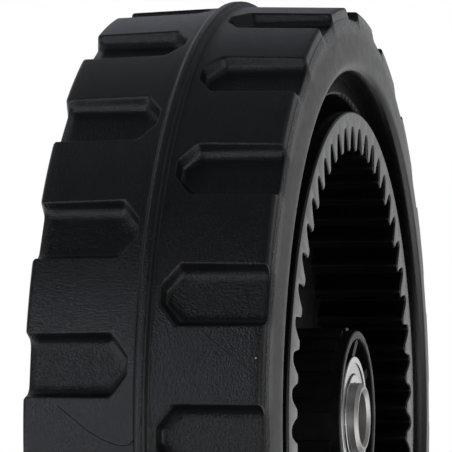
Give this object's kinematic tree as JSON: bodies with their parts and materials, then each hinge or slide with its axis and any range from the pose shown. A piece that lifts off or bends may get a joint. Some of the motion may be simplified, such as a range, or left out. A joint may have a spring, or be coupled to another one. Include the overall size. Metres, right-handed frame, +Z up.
{
  "type": "lawn mower drive wheel",
  "caption": "Black moulded drive wheel with a lugged tyre, centre ridge, internal ring gear and a shielded ball-bearing hub on an axle sleeve.",
  "frame": {"origin": "centre of the wheel, in the middle of the axle bore", "axes": "+Y along the axle, away from the mower; -Y is the gear side; +Z up"},
  "size_m": [0.2032, 0.0574, 0.2032],
  "materials": {
    "tyre": "fine moulded grain",
    "body_plastic": "satin",
    "gear_plastic": "satin",
    "sleeve_steel": "zinc plated",
    "bearing_steel": "ground",
    "pressed_steel": "pressed"
  },
  "bodies": {
    "axle_set": {"axle_sleeve": "sleeve_steel", "gear_side_inner_race": "bearing_steel", "outer_side_inner_race": "bearing_steel"},
    "wheel": {"tyre": "tyre", "wheel_body": "body_plastic", "ring_gear": "gear_plastic", "gear_side_outer_race": "bearing_steel", "outer_side_outer_race": "bearing_steel", "gear_side_shield_gear_face": "pressed_steel", "gear_side_shield_outer_face": "pressed_steel", "outer_side_shield_gear_face": "pressed_steel", "outer_side_shield_outer_face": "pressed_steel"},
    "gear_side_cage": {"gear_side_balls": "bearing_steel", "gear_side_cage_gear_half": "pressed_steel", "gear_side_cage_outer_half": "pressed_steel", "gear_side_cage_rivets": "pressed_steel"},
    "outer_side_cage": {"outer_side_balls": "bearing_steel", "outer_side_cage_gear_half": "pressed_steel", "outer_side_cage_outer_half": "pressed_steel", "outer_side_cage_rivets": "pressed_steel"}
  },
  "joints": [
    {"name": "wheel_spin", "type": "hinge", "parent": "axle_set", "child": "wheel", "pos_m": [0, 0, 0], "axis": [0, 1, 0], "continuous": true},
    {"name": "gear_side_cage_spin", "type": "hinge", "parent": "axle_set", "child": "gear_side_cage", "pos_m": [0, 0, 0], "axis": [0, 1, 0], "continuous": true},
    {"name": "outer_side_cage_spin", "type": "hinge", "parent": "axle_set", "child": "outer_side_cage", "pos_m": [0, 0, 0], "axis": [0, 1, 0], "continuous": true}
  ],
  "couplings": [
    {"joint": "gear_side_cage_spin", "follows": "wheel_spin", "ratio": 0.58445},
    {"joint": "outer_side_cage_spin", "follows": "wheel_spin", "ratio": 0.58445}
  ]
}
